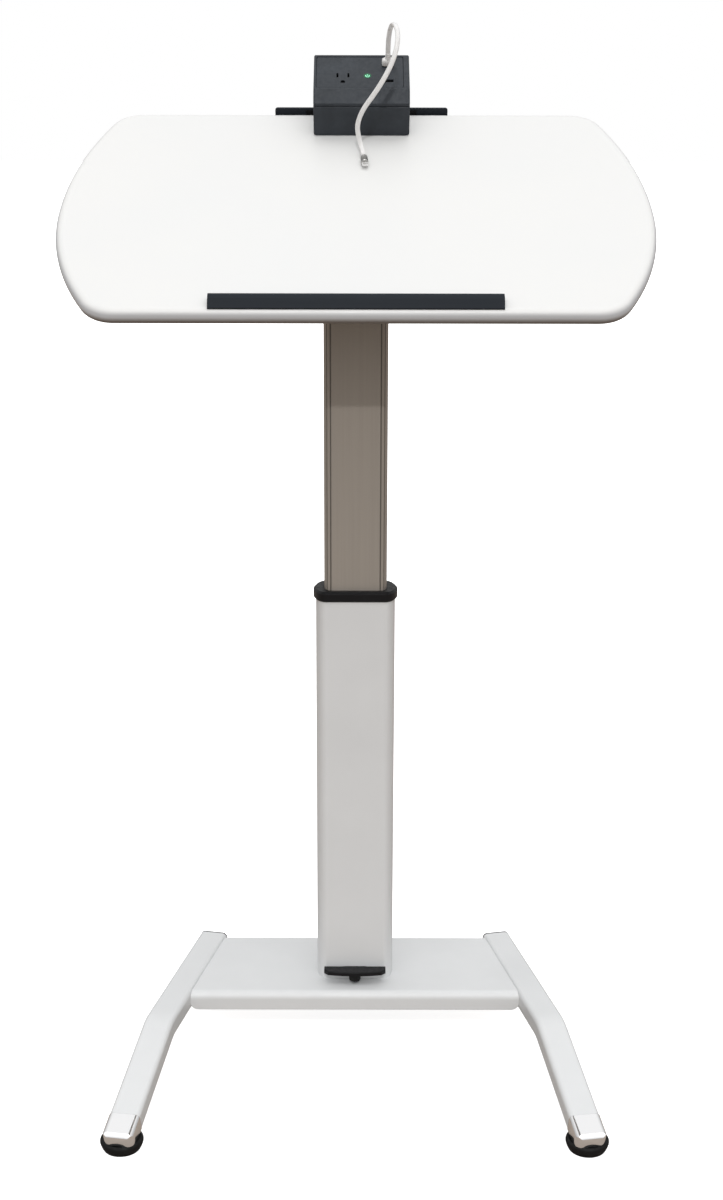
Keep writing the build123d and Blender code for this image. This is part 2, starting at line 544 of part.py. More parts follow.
def unit_base():
    """Lower moulding of the power unit, stepped over the rail and down behind it."""
    top, step, tail = SURFACE + UNIT_SPLIT, SURFACE + RAIL_RISE + 1.0, SURFACE - 24.0
    rail_front, behind = BOARD_BACK - 0.5, BOARD_BACK + 7.0
    outline = [(UNIT_FRONT, SURFACE), (UNIT_FRONT, top), (UNIT_BACK, top), (UNIT_BACK, tail),
               (behind, tail), (behind, step), (rail_front, step), (rail_front, SURFACE)]
    body = across(outline, UNIT_W)
    body = fillet(body.edges().filter_by(Axis.Y).group_by(Axis.Y)[0].group_by(Axis.Z)[0], UNIT_CORNER_R)
    body = chamfer(body.faces().sort_by(Axis.Y)[0].edges(), UNIT_CHAMFER)
    half = UNIT_W / 2 - SHELL
    body += block((2 - UNIT_W / 2, UNIT_W / 2 - 2), (UNIT_FRONT + 2, UNIT_BACK - 2), (top, top + SEAM))
    body -= block((-half, half), (UNIT_FRONT + SHELL, rail_front - SHELL), (SURFACE + SHELL, top + SEAM))
    body -= block((-half, half), (UNIT_FRONT + SHELL, UNIT_BACK - SHELL), (step + SHELL, top + SEAM))
    body -= block((-half, half), (behind + SHELL, UNIT_BACK - SHELL), (tail + SHELL, top))
    return Pos(UNIT_X, 0, 0) * body - rod_z(UNIT_X + 35, UNIT_BACK - 8, GLAND_R, tail, tail + SHELL)


def housing_outline(low):
    return [(UNIT_FRONT, low), (UNIT_FRONT, SURFACE + UNIT_SPLIT + SEAM + LIP), (FACET_Y, FACET_Z),
            (PANEL_END_Y, PANEL_END_Z), (UNIT_BACK, PANEL_END_Z - 2), (UNIT_BACK, low)]


def panel_frame():
    """Middle of the sloped panel's outer face, +Y up the panel, +Z out of it."""
    slope = Vector(0, PANEL_END_Y - FACET_Y, PANEL_END_Z - FACET_Z)
    centre = (UNIT_X, (FACET_Y + PANEL_END_Y) / 2, (FACET_Z + PANEL_END_Z) / 2)
    return Plane(centre, x_dir=(1, 0, 0), z_dir=Vector(1, 0, 0).cross(slope))


def on_panel(sketch, low, high):
    """A panel sketch drawn out between two heights above the panel."""
    return extrude(panel_frame().offset(low) * sketch, amount=high - low)


def unit_housing():
    """Upper shell: its front facet leans back and its panel slopes towards the reader."""
    low = SURFACE + UNIT_SPLIT + SEAM
    shell = across(housing_outline(low), UNIT_W)
    shell = fillet(shell.faces().filter_by(Axis.X).edges(), UNIT_EDGE_R)
    room = offset(make_face(Polyline(*housing_outline(low - 20), close=True)), amount=-SHELL)
    shell -= extrude(Plane.YZ * room, amount=UNIT_W / 2 - SHELL, both=True)
    shell = Pos(UNIT_X, 0, 0) * shell
    pocket = Pos(PLATE_X, 0) * RectangleRounded(FACE_W + 2 * FACE_GAP, FACE_H + 2 * FACE_GAP, 2.0)
    window = Pos(PLATE_X, 0) * Rectangle(FACE_W - 8, FACE_H - 8)
    return shell - on_panel(pocket, -FACE_POCKET, 1) - on_panel(window, -SHELL - 3, 1)


def unit_faceplate():
    """Inset panel with the outlet's slots, the lamp's hole and the two USB ports."""
    face_top = FACE_T - FACE_POCKET
    plate = on_panel(Pos(PLATE_X, 0) * RectangleRounded(FACE_W, FACE_H, 2.0), -FACE_POCKET, face_top)
    return plate - panel_holes(-10, 5)


def panel_holes(low, high):
    holes = [on_panel(Pos(LAMP_X, LAMP_Y) * Circle(LAMP_R), low, high)] + outlet_holes(low, high)
    return holes + [on_panel(Pos(USB_X, y) * Rectangle(USB_W, USB_H), low, high) for y in USB_YS]


def outlet_holes(low, high):
    blades = [Pos(OUTLET_X + side * SLOT_PITCH / 2, SLOT_Y) * Rectangle(2.2, 8.0) for side in (-1, 1)]
    ground = Pos(OUTLET_X, GROUND_Y) * (Circle(2.5) + Pos(0, -1.2) * Rectangle(5.0, 2.4))
    return [on_panel(hole, low, high) for hole in blades + [ground]]


def outlet():
    """Contact block behind the outlet's slots."""
    block_face = Pos(OUTLET_X, -10.0) * RectangleRounded(32, 26, 3)
    return on_panel(block_face, -24, -FACE_POCKET) - outlet_holes(-18, 5)


def usb_module():
    """Twin charging socket with a contact tongue in each port."""
    middle = sum(USB_YS) / 2
    body = on_panel(Pos(USB_X, middle) * Rectangle(20, 42), -18, -FACE_POCKET)
    for y in USB_YS:
        body -= on_panel(Pos(USB_X, y) * Rectangle(USB_W, USB_H), -FACE_POCKET - USB_DEEP, 0)
        body += on_panel(Pos(USB_X, y + 0.6) * Rectangle(10.8, 1.4), -FACE_POCKET - USB_DEEP, -FACE_POCKET - 2)
    return body


def lamp_ring():
    return on_panel(Pos(LAMP_X, LAMP_Y) * (Circle(LAMP_R) - Circle(3.2)), -6, -0.2)


def lamp_lens():
    return on_panel(Pos(LAMP_X, LAMP_Y) * Circle(3.2), -6, -0.5)


def power_board():
    """Charger circuit board with its transformer and two capacitors."""
    low = SURFACE + 6.0
    x = UNIT_X
    card = block((x - 44, x + 40), (UNIT_FRONT + 6, 230), (low, low + 1.6))
    transformer = block((x + 14, x + 34), (192, 212), (low + 1.6, low + 17))
    legs = [block((x + side, x + side + 5), (220, 226), (SURFACE + SHELL, low)) for side in (-40, 30)]
    capacitors = [rod_z(x + 2, y, 4.0, low + 1.6, low + 14) for y in (196, 207)]
    parts = card + transformer
    for piece in legs + capacitors:
        parts += piece
    return parts


def mains_gland():
    """Strain relief for the unit's supply, at the bottom of its back."""
    y, top = UNIT_BACK - 8.0, SURFACE - 24.0
    gland = rod_z(UNIT_X + 35, y, GLAND_R, top - 12, top + SHELL) + rod_z(UNIT_X + 35, y, 7.5, top - 4, top)
    return gland - rod_z(UNIT_X + 35, y, 3.5, top - 12, top + SHELL)


def unit_clamp():
    """Steel strip down behind the rail and forwards under it."""
    back, low = BOARD_BACK + 7.0, SURFACE - 48.0
    strip = block((UNIT_X - 18, UNIT_X + 18), (back - 3, back), (low, SURFACE + RAIL_RISE))
    strip += block((UNIT_X - 18, UNIT_X + 18), (back - 42, back), (low, low + 3))
    return strip - clamp_screw()


def clamp_screw():
    """Thumbscrew through the clamp's jaw, with its pad against the rail."""
    y, jaw, rail = BOARD_BACK - 17.0, SURFACE - 48.0, SURFACE - BOARD_T - RAIL_T
    shank = rod_z(UNIT_X, y, 4.0, jaw - 14, rail - 3)
    pad = rod_z(UNIT_X, y, 9.0, rail - 3, rail)
    wheel = rod_z(UNIT_X, y, 14.0, jaw - 24, jaw - 14)
    wheel = fillet(wheel.edges().filter_by(GeomType.CIRCLE), 2.0)
    return shank + pad + wheel


def usb_plug():
    """Plug pushed into the upper port, with its metal shell round the port's tongue."""
    y = USB_YS[1]
    shell = Rectangle(12.2, 4.8) - Rectangle(11.4, 4.0)
    metal = on_panel(Pos(USB_X, y) * shell, -FACE_POCKET - USB_DEEP + 1, PLUG_LOW)
    grip = on_panel(Pos(USB_X, y) * RectangleRounded(PLUG_W, PLUG_D, 2.5), PLUG_LOW, GRIP_TOP)
    sleeve = on_panel(Pos(USB_X, y) * Circle(3.4), GRIP_TOP, SLEEVE_TOP)
    return metal + grip + sleeve


def route_radii():
    """The largest arc that each corner of the lead's route has room for."""
    points = [Vector(*p) for p in LEAD_ROUTE]
    radii = []
    for before, here, after in zip(points, points[1:], points[2:]):
        turn = (here - before).get_angle(after - here)
        run = min((here - before).length, (after - here).length)
        radii.append(0.45 * run / tan(radians(turn / 2)))
    return radii


def charge_lead():
    radii = route_radii()
    line = FilletPolyline(*LEAD_ROUTE, radius=radii)
    start = Plane(line @ 0, z_dir=line % 0)
    tube = sweep(start * Circle(LEAD_D / 2), path=line)
    section = 3.14159 * LEAD_D ** 2 / 4
    print("lead radii", [round(r, 1) for r in radii])
    print("lead length", round(line.length, 1), "volume", round(tube.volume), "of", round(section * line.length))
    return tube


def lead_connector():
    """Small round connector lying on the worktop at the lead's free end."""
    end, before = Vector(*LEAD_ROUTE[-1]), Vector(*LEAD_ROUTE[-2])
    frame = Plane(end, z_dir=end - before)
    barrel = extrude(frame * Circle(BARREL_R), amount=BARREL_L)
    barrel = fillet(barrel.edges().filter_by(GeomType.CIRCLE), 0.6)
    tip = extrude(frame.offset(BARREL_L) * Rectangle(6.6, 1.6), amount=TIP_L)
    return barrel + tip


def standing_parts():
    """Everything drawn about the column's axis, as node name and shape."""
    parts = {
        "base_plate": base_plate(), "base_stiffener": base_stiffener(),
        "leg_bolts": Compound(leg_bolts()), "leg_end_caps": Compound([leg_cap(-1), leg_cap(1)]),
        "foot_studs": Compound([foot_stud(-1), foot_stud(1)]),
        "wheel_forks": Compound([wheel_fork(-1), wheel_fork(1)]),
        "wheel_axles": Compound([wheel_axle(-1), wheel_axle(1)]),
        "column_foot": column_foot(), "column_screws": Compound(column_screws()),
        "outer_column": outer_column(), "collar": collar(), "upper_guide": upper_guide(),
        "spring_bracket": spring_bracket(), "spring_rod": spring_rod(), "release_pin": release_pin(),
        "pedal_pin": pedal_pin(), "pedal_lever": pedal_lever(), "pedal_tread": pedal_tread(),
        "pedal_bumper": pedal_bumper(), "inner_column": inner_column(), "lower_glide": lower_glide(),
        "spring_cylinder": spring_cylinder(), "spring_gland": spring_gland(), "spring_nut": spring_nut(),
        "head_bracket": head_bracket(), "head_screws": Compound(head_screws()), "tilt_pin": tilt_pin(),
        "friction_washers": Compound(friction_washers()), "lock_knob": lock_knob(),
    }
    bolt_holes = leg_bolts()
    for name, side in (("left", -1), ("right", 1)):
        parts[f"leg_{name}"] = leg(side) - bolt_holes
        parts[f"toe_cap_{name}"] = toe_cap(side)
        parts[f"foot_{name}"] = foot(side)
        parts[f"wheel_hub_{name}"] = wheel_hub(side)
        parts[f"wheel_tyre_{name}"] = wheel_tyre(side)
    return parts


def tilting_parts():
    """Everything drawn in the head's own frame."""
    return {
        "board": board(), "board_bracket": board_bracket(), "board_screws": Compound(board_screws()),
        "edge_screws": Compound(edge_screws()), "ledge": ledge(), "rear_rail": rear_rail(),
        "unit_base": unit_base(), "unit_housing": unit_housing(), "unit_faceplate": unit_faceplate(),
        "outlet": outlet(), "usb_module": usb_module(), "power_board": power_board(),
        "lamp_ring": lamp_ring(), "lamp_lens": lamp_lens(), "mains_gland": mains_gland(),
        "unit_clamp": unit_clamp(), "clamp_screw": clamp_screw(), "usb_plug": usb_plug(),
    }


def main():
    os.makedirs("parts", exist_ok=True)
    stand = Pos(0, COLUMN_Y, 0)
    head = stand * Pos(0, 0, PIN_Z) * Rot(TILT, 0, 0)
    shapes = {name: stand * shape for name, shape in standing_parts().items()}
    shapes.update({name: head * shape for name, shape in tilting_parts().items()})
    shapes["charge_lead"] = charge_lead()
    shapes["lead_connector"] = lead_connector()
    for name, shape in shapes.items():
        export_step(shape, f"parts/{name}.step")
    exit_point = head * (panel_frame().location * Pos(USB_X, USB_YS[1], SLEEVE_TOP))
    print("lead leaves the plug at", exit_point.position)
    whole = Compound([shape for name, shape in shapes.items() if name not in ("charge_lead", "usb_plug")])
    box = whole.bounding_box()
    print(len(shapes), "nodes; box", box.min, box.max)


main()
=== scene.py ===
"""Looks for the tilting lectern stand: camera, charging lead, detailed pieces, finishes, light."""

import json
from math import cos, pi, radians, sin

import bmesh
import bpy
from mathutils import Matrix, Vector


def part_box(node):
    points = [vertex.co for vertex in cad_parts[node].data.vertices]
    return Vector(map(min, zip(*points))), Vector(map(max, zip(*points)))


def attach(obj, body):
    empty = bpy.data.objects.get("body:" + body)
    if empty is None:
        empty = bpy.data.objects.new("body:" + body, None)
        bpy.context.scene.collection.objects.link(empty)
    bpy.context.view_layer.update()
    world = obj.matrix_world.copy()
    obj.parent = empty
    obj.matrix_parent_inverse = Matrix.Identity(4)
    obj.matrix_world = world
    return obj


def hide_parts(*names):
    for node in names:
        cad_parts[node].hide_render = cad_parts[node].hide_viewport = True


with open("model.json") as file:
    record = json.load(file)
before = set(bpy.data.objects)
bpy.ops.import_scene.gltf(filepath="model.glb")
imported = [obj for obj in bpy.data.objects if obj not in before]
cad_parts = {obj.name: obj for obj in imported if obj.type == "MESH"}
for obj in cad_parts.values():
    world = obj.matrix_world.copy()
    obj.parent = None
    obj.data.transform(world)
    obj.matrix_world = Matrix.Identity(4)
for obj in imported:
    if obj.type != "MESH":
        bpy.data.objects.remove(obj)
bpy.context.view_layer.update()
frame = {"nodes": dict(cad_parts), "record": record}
nodes = frame["nodes"]
MM = 0.001      # a millimetre in the frame's metres
CREASE = 38     # degrees: a sharper edge than this isn't shaded smooth

# Camera: lens and sensor in millimetres, angles in degrees, places in metres
LENS, SENSOR, LOOK_DOWN, ROLL, SHIFT_X = 52.7, 36.0, 16.0, 0.10, 0.0050
EYE_BACK, EYE_HEIGHT = 1.975, 1.1175

# Light: name, energy, spread, height above the floor and bearing from straight in front, in degrees
LIGHTS = [
    ("overhead", 0.62, 50, 78, 20),
    ("front_fill", 0.36, 70, 30, 0),
    ("front_edge", 0.74, 1.5, 37.7, 0),
]
HORIZON_LIGHT, OVERHEAD_LIGHT = 0.34, 1.02
FLOOR_REACH, FLOOR_GLOW, FLOOR_GIVES_BACK = 30.0, 0.8, (0.36, 0.31, 0.27, 1.0)

# Charging lead: the same route as the CAD's, in metres
LEAD_ROUTE = [
    (0.0365, 0.1889, 1.16544),
    (0.0365, 0.1770, 1.1818),
    (0.0395, 0.1589, 1.1960),
    (0.0435, 0.1399, 1.1965),
    (0.0470, 0.1249, 1.1840),
    (0.0440, 0.1179, 1.1640),
    (0.0355, 0.1169, 1.1440),
    (0.0225, 0.1199, 1.1230),
    (0.0070, 0.1259, 1.1030),
    (0.0005, 0.1339, 1.0860),
    (0.0030, 0.1397, 1.0710),
    (0.0076, 0.1340, 1.0571),
    (0.0087, 0.1226, 1.0509),
]
LEAD_LENGTH, LEAD_WIDTH, LEAD_CORE_R = 0.2376, 0.0056, 0.0017
LEAD_TWIST, LEAD_HALF_WAVES = 14.0, 5.0     # degrees either way, and half waves from end to end
LEAD_GROOVE = 0.34                          # depth of the groove between the cores, as a share

TILT, PANEL_SLOPE = 28.6, 36.0      # degrees from level: the worktop, and the power unit's panel
BOARD_FACE = 0.85914                # the worktop's face, measured from the origin along its normal
COLUMN_GROOVE_SHADE = ((0.0285, 0.0006), (0.0327, 0.0003))   # X and half width of the inner column's grooves, painted darker as shade

# Black liners that paint shade into the rear rail's blind slots: in from its ends, down from its top, width
# and height
SLOT_END, SLOT_BELOW_TOP, SLOT_W, SLOT_H = 0.0365, 0.0022, 0.0088, 0.0064


# ---------------------------------------------------------------- finishes

class Finish:
    """A node material under construction: object coordinates in, one principled shader out."""

    def __init__(self, name, colour, roughness=0.5, metallic=0.0, **sockets):
        self.name = name
        self.material = bpy.data.materials.new(name)
        self.material.use_nodes = True
        self.tree = self.material.node_tree
        self.shader = self.tree.nodes["Principled BSDF"]
        self.colour = (*colour, 1.0)
        self.set("Base Color", self.colour)
        self.set("Roughness", roughness)
        self.set("Metallic", metallic)
        for socket, value in sockets.items():
            self.set(socket.replace("_", " "), value)
        self.place = self.node("TexCoord").outputs["Object"]
        self.material.diffuse_color = self.colour

    def set(self, socket, value):
        self.shader.inputs[socket].default_value = value

    def node(self, kind, **values):
        """A shader node with its inputs set by name; a socket as a value is linked."""
        made = self.tree.nodes.new("ShaderNode" + kind)
        for key, value in values.items():
            plug = made.inputs[key.replace("_", " ")]
            if isinstance(value, bpy.types.NodeSocket):
                self.tree.links.new(value, plug)
            else:
                plug.default_value = value
        return made

    def stretched(self, x, y, z):
        """Object coordinates scaled along each axis, so that a texture runs out long or short."""
        return self.node("Mapping", Vector=self.place, Scale=(x, y, z)).outputs["Vector"]

    def noise(self, scale, detail=3.0, roughness=0.5, at=None):
        made = self.node("TexNoise", Vector=at or self.place, Scale=scale, Detail=detail, Roughness=roughness)
        return made.outputs["Fac"]

    def cells(self, scale):
        return self.node("TexVoronoi", Vector=self.place, Scale=scale).outputs["Distance"]

    def ranged(self, value, low, high, start=0.3, end=0.7):
        """The value carried over from start..end to low..high, and held at the ends."""
        made = self.node("MapRange", Value=value, From_Min=start, From_Max=end, To_Min=low, To_Max=high)
        return made.outputs["Result"]

    def maths(self, operation, *values):
        """The result of a sum on numbers and sockets."""
        made = self.tree.nodes.new("ShaderNodeMath")
        made.operation = operation
        for plug, value in zip(made.inputs, values):
            if isinstance(value, bpy.types.NodeSocket):
                self.tree.links.new(value, plug)
            else:
                plug.default_value = value
        return made.outputs["Value"]

    def away_from(self, middle):
        """Distance from the nearer of two planes, at this X on either side of the centre."""
        x = self.node("SeparateXYZ", Vector=self.place).outputs["X"]
        return self.maths("ABSOLUTE", self.maths("SUBTRACT", self.maths("ABSOLUTE", x), middle))

    def tint(self, by, other, low=0.3, high=0.7):
        """The colour drifts towards another where the value is high."""
        mix = self.node("MixRGB", Fac=self.ranged(by, 0.0, 1.0, low, high), Color2=(*other, 1.0))
        mix.inputs["Color1"].default_value = self.colour
        source = self.shader.inputs["Base Color"]
        if source.is_linked:
            self.tree.links.new(source.links[0].from_socket, mix.inputs["Color1"])
        self.tree.links.new(mix.outputs["Color"], source)
        return self

    def polish(self, by, low, high, start=0.3, end=0.7):
        """The roughness runs between two values."""
        self.tree.links.new(self.ranged(by, low, high, start, end), self.shader.inputs["Roughness"])
        return self

    def relief(self, *layers, edge=0.0):
        """Bumps of (height, depth in metres), over edges rounded by a small radius."""
        normal = None
        if edge:
            rounded = self.tree.nodes.new("ShaderNodeBevel")
            rounded.samples = 4
            rounded.inputs["Radius"].default_value = edge
            normal = rounded.outputs["Normal"]
        for height, depth in layers:
            bump = self.node("Bump", Height=height, Distance=depth, Strength=1.0)
            if normal:
                self.tree.links.new(normal, bump.inputs["Normal"])
            normal = bump.outputs["Normal"]
        self.tree.links.new(normal, self.shader.inputs["Normal"])
        return self


def white_paint():
    f = Finish("white_paint", (0.71, 0.72, 0.725), 0.42, Specular_IOR_Level=0.45)
    drift = f.noise(9.0, 4.0)
    orange_peel = f.noise(1600.0, 2.0, 0.45)
    f.tint(drift, (0.67, 0.68, 0.685), 0.35, 0.75)
    f.polish(f.noise(60.0, 4.0), 0.36, 0.5)
    return f.relief((orange_peel, 0.00005), (f.noise(300.0, 2.0), 0.00004), edge=0.0006)


def laminate():
    """White face, a moulded edge below it painted greyer as shade, and painted brown shade underneath."""
    f = Finish("white_laminate", (0.755, 0.755, 0.745), 0.34, Specular_IOR_Level=0.5)
    product = f.node("VectorMath", Vector=f.place)
    product.operation = "DOT_PRODUCT"
    product.inputs[1].default_value = (0, -sin(radians(TILT)), cos(radians(TILT)))
    height = product.outputs["Value"]
    f.tint(f.noise(5.0, 3.0), (0.742, 0.746, 0.742), 0.4, 0.7)
    painted_edge_shade, painted_underside_shade = (0.50, 0.51, 0.525), (0.15, 0.13, 0.115)
    # painted shade: the rounded edge greys, then browns, the further it falls below the face
    f.tint(height, painted_edge_shade, BOARD_FACE - 0.0012, BOARD_FACE - 0.0050)
    f.tint(height, painted_underside_shade, BOARD_FACE - 0.0075, BOARD_FACE - 0.0125)
    f.polish(f.noise(420.0, 5.0, 0.65), 0.3, 0.42)
    return f.relief((f.noise(2200.0, 3.0, 0.6), 0.00003), edge=0.0005)


def moulded(name, colour, roughness, grain=1500.0, depth=0.00006, shine=0.22):
    """Spark-eroded moulding texture, with faint lighter patches."""
    f = Finish(name, colour, roughness, Specular_IOR_Level=shine)
    lighter = tuple(min(1.0, c * 1.4 + 0.002) for c in colour)
    f.tint(f.noise(34.0, 5.0, 0.6), lighter, 0.45, 0.85)
    f.polish(f.noise(240.0, 4.0), roughness - 0.07, roughness + 0.1)
    return f.relief((f.cells(grain), depth), (f.noise(grain * 1.7, 2.0), depth * 0.7), edge=0.0004)


def rubber():
    f = Finish("black_rubber", (0.006, 0.006, 0.006), 0.62, Specular_IOR_Level=0.2)
    f.tint(f.noise(70.0, 6.0, 0.7), (0.016, 0.0155, 0.015), 0.5, 0.8)
    f.polish(f.noise(150.0, 4.0), 0.5, 0.78)
    return f.relief((f.noise(1800.0, 3.0, 0.6), 0.00008), edge=0.0006)


def extruded(name, colour, roughness, metallic=1.0, shine=0.5, along=(1.0, 1.0, 0.012), grooves=()):
    """Anodised extrusion: fine die lines along its length, a soft satin, and painted shade darkening its
    grooves.
    """
    f = Finish(name, colour, roughness, metallic, Specular_IOR_Level=shine)
    lines = f.noise(1500.0, 3.0, 0.6, at=f.stretched(*along))
    darker = tuple(c * 0.95 for c in colour)
    f.tint(f.noise(420.0, 2.0, at=f.stretched(*along)), darker, 0.35, 0.75)
    # painted shade: the colour darkens inside each groove
    for middle, half in grooves:
        f.tint(f.away_from(middle), tuple(c * 0.42 for c in colour), half + 0.0003, half)
    f.polish(lines, roughness - 0.03, roughness + 0.04)
    return f.relief((lines, 0.000004), (f.noise(2500.0, 2.0), 0.000006), edge=0.0004)


def brushed(name, colour, roughness):
    f = Finish(name, colour, roughness, 1.0)
    streaks = f.noise(900.0, 4.0, 0.6, at=f.stretched(0.05, 1.0, 1.0))
    f.tint(streaks, tuple(c * 0.75 for c in colour), 0.35, 0.75)
    f.polish(streaks, roughness - 0.08, roughness + 0.1)
    return f.relief((streaks, 0.00001), edge=0.0003)


def chrome():
    f = Finish("chrome", (0.96, 0.96, 0.965), 0.12, 1.0)
    f.polish(f.noise(600.0, 6.0, 0.7), 0.08, 0.17, 0.35, 0.8)
    return f.relief((f.noise(45.0, 2.0), 0.00005), edge=0.0005)


def zinc():
    f = Finish("zinc_steel", (0.6, 0.61, 0.63), 0.32, 1.0)
    f.tint(f.cells(520.0), (0.48, 0.49, 0.5), 0.1, 0.6)
    f.polish(f.noise(300.0, 4.0), 0.24, 0.42)
    return f.relief((f.noise(1500.0, 2.0), 0.00002), edge=0.0003)


def cast_alloy():
    f = Finish("cast_alloy", (0.52, 0.52, 0.53), 0.48, 1.0)
    f.tint(f.noise(90.0, 5.0), (0.42, 0.42, 0.43))
    f.polish(f.noise(200.0, 4.0), 0.4, 0.6)
    return f.relief((f.noise(700.0, 4.0, 0.65), 0.0001), edge=0.0006)


def circuit_board():
    f = Finish("circuit_board", (0.02, 0.16, 0.07), 0.35)
    tracks = f.node("TexBrick", Vector=f.place, Scale=120.0).outputs["Fac"]
    f.tint(tracks, (0.05, 0.28, 0.12), 0.2, 0.8)
    f.polish(f.noise(200.0, 3.0), 0.28, 0.45)
    return f.relief((tracks, 0.00003), edge=0.0002)


def lamp_green():
    f = Finish("green_lens", (0.004, 0.06, 0.024), 0.18,
               Emission_Color=(0.02, 0.5, 0.2, 1.0), Emission_Strength=0.06)
    f.tint(f.noise(900.0, 2.0), (0.006, 0.09, 0.036))
    f.polish(f.noise(700.0, 2.0), 0.12, 0.26)
    return f.relief((f.noise(600.0, 2.0), 0.00002), edge=0.0002)


def lamp_glow():
    f = Finish("lamp_glow", (0.30, 0.75, 0.5), 0.3,
               Emission_Color=(0.25, 1.0, 0.55, 1.0), Emission_Strength=0.45)
    f.polish(f.noise(700.0, 2.0), 0.2, 0.4)
    return f.relief((f.noise(900.0, 2.0), 0.00001))


def lead_jacket():
    f = Finish("lead_white", (0.79, 0.785, 0.78), 0.4, Specular_IOR_Level=0.45, Subsurface_Weight=0.05,
               Subsurface_Radius=(0.002, 0.0018, 0.0016))
    f.tint(f.noise(160.0, 3.0), (0.74, 0.735, 0.73), 0.4, 0.75)
    f.polish(f.noise(350.0, 4.0), 0.33, 0.5)
    return f.relief((f.noise(2600.0, 2.0), 0.00003), edge=0.0002)


def steel_paint(name, colour, roughness):
    f = Finish(name, colour, roughness, Specular_IOR_Level=0.5)
    f.tint(f.noise(45.0, 5.0), tuple(c * 1.4 + 0.004 for c in colour), 0.5, 0.8)
    f.polish(f.noise(140.0, 4.0), roughness - 0.06, roughness + 0.1)
    return f.relief((f.noise(1100.0, 3.0), 0.00006), edge=0.0005)


def nylon():
    f = Finish("grey_nylon", (0.42, 0.42, 0.41), 0.45, Specular_IOR_Level=0.4)
    f.tint(f.noise(60.0, 4.0), (0.36, 0.36, 0.355))
    f.polish(f.noise(200.0, 3.0), 0.38, 0.55)
    return f.relief((f.noise(1400.0, 2.0), 0.00004), edge=0.0004)


def all_finishes():
    """The material of each of the record's material slots."""
    made = [
        white_paint(), laminate(), rubber(), zinc(), chrome(), cast_alloy(), nylon(), circuit_board(),
        lamp_green(), lead_jacket(),
        steel_paint("dark_steel", (0.035, 0.035, 0.038), 0.42),
        steel_paint("black_paint", (0.006, 0.006, 0.007), 0.22),
        extruded("column_aluminium", (0.335, 0.30, 0.262), 0.45, 0.12, grooves=COLUMN_GROOVE_SHADE),
        extruded("black_aluminium", (0.020, 0.024, 0.030), 0.46, 0.0, 0.06, (0.012, 1.0, 1.0)),
        moulded("black_plastic", (0.005, 0.005, 0.006), 0.4),
        moulded("charcoal_plastic", (0.024, 0.029, 0.036), 0.5, 1300.0, 0.00007, shine=0.3),
        moulded("contact_plastic", (0.004, 0.004, 0.005), 0.5),
        brushed("bright_metal", (0.55, 0.545, 0.53), 0.3),
    ]
    return {finish.name: finish.material for finish in made}


# ---------------------------------------------------------------- mesh helpers

def piece(name, points, faces, slots, body, face_slots=None, smooth=True, place=None):
    """A mesh piece in the finishes of one or more slots, riding on a CAD body."""
    mesh = bpy.data.meshes.new(name)
    mesh.from_pydata([tuple(p) for p in points], [], faces)
    mesh.validate()
    made = bpy.data.objects.new(name, mesh)
    bpy.context.scene.collection.objects.link(made)
    for slot in slots:
        mesh.materials.append(finishes[slot])
    if face_slots:
        mesh.polygons.foreach_set("material_index", face_slots)
    if place is not None:
        mesh.transform(place)
    shade = bmesh.new()
    shade.from_mesh(mesh)
    bmesh.ops.recalc_face_normals(shade, faces=shade.faces)
    shade.to_mesh(mesh)
    shade.free()
    if smooth:
        mesh.polygons.foreach_set("use_smooth", [True] * len(mesh.polygons))
        mesh.set_sharp_from_angle(angle=radians(CREASE))
    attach(made, body)
    return made


def loft(rings, closed_ends=True):
    """Points and faces of a skin over rings that have the same number of points."""
    count = len(rings[0])
    points = [p for ring in rings for p in ring]
    faces = []
    for r in range(len(rings) - 1):
        for i in range(count):
            j = (i + 1) % count
            faces.append((r * count + i, r * count + j, (r + 1) * count + j, (r + 1) * count + i))
    if closed_ends:
        faces.append(tuple(range(count)))
        faces.append(tuple(range((len(rings) - 1) * count, len(rings) * count)))
    return points, faces


def circle_ring(radius, z, count=48):
    angles = [2 * pi * i / count for i in range(count)]
    return [Vector((radius * cos(a), radius * sin(a), z)) for a in angles]


def squared_ring(width, depth, z, power, count=48):
    """A superellipse: a rounded rectangle whose corners soften as the power falls."""
    ring = []
    for i in range(count):
        c, s = cos(2 * pi * i / count), sin(2 * pi * i / count)
        x = abs(c) ** (2 / power) * (1 if c >= 0 else -1) * width / 2
        y = abs(s) ** (2 / power) * (1 if s >= 0 else -1) * depth / 2
        ring.append(Vector((x, y, z)))
    return ring


def round_skin(rows, drop=0.0):
    """A skin over circles of (radius, height less the drop), in millimetres."""
    return loft([circle_ring(r * MM, (z - drop) * MM) for r, z in rows])


def squared_skin(rows, power, drop=0.0, closed_ends=True):
    """A skin over rounded rectangles of (width, depth, height less the drop), in millimetres."""
    rings = [squared_ring(w * MM, d * MM, (z - drop) * MM, power) for w, d, z in rows]
    return loft(rings, closed_ends)


def joined(*parts):
    """Several (skin, slot number) as one set of points, faces and slot numbers."""
    points, faces, slots = [], [], []
    for (some_points, some_faces), slot in parts:
        start = len(points)
        points += some_points
        faces += [tuple(i + start for i in face) for face in some_faces]
        slots += [slot] * len(some_faces)
    return points, faces, slots


def aimed(origin, along, across):
    """A frame at origin with +Z along one direction and +X near another."""
    z = Vector(along).normalized()
    x = (Vector(across) - Vector(across).dot(z) * z).normalized()
    turn = Matrix((x, z.cross(x), z)).transposed().to_4x4()
    return Matrix.Translation(origin) @ turn


# ---------------------------------------------------------------- camera

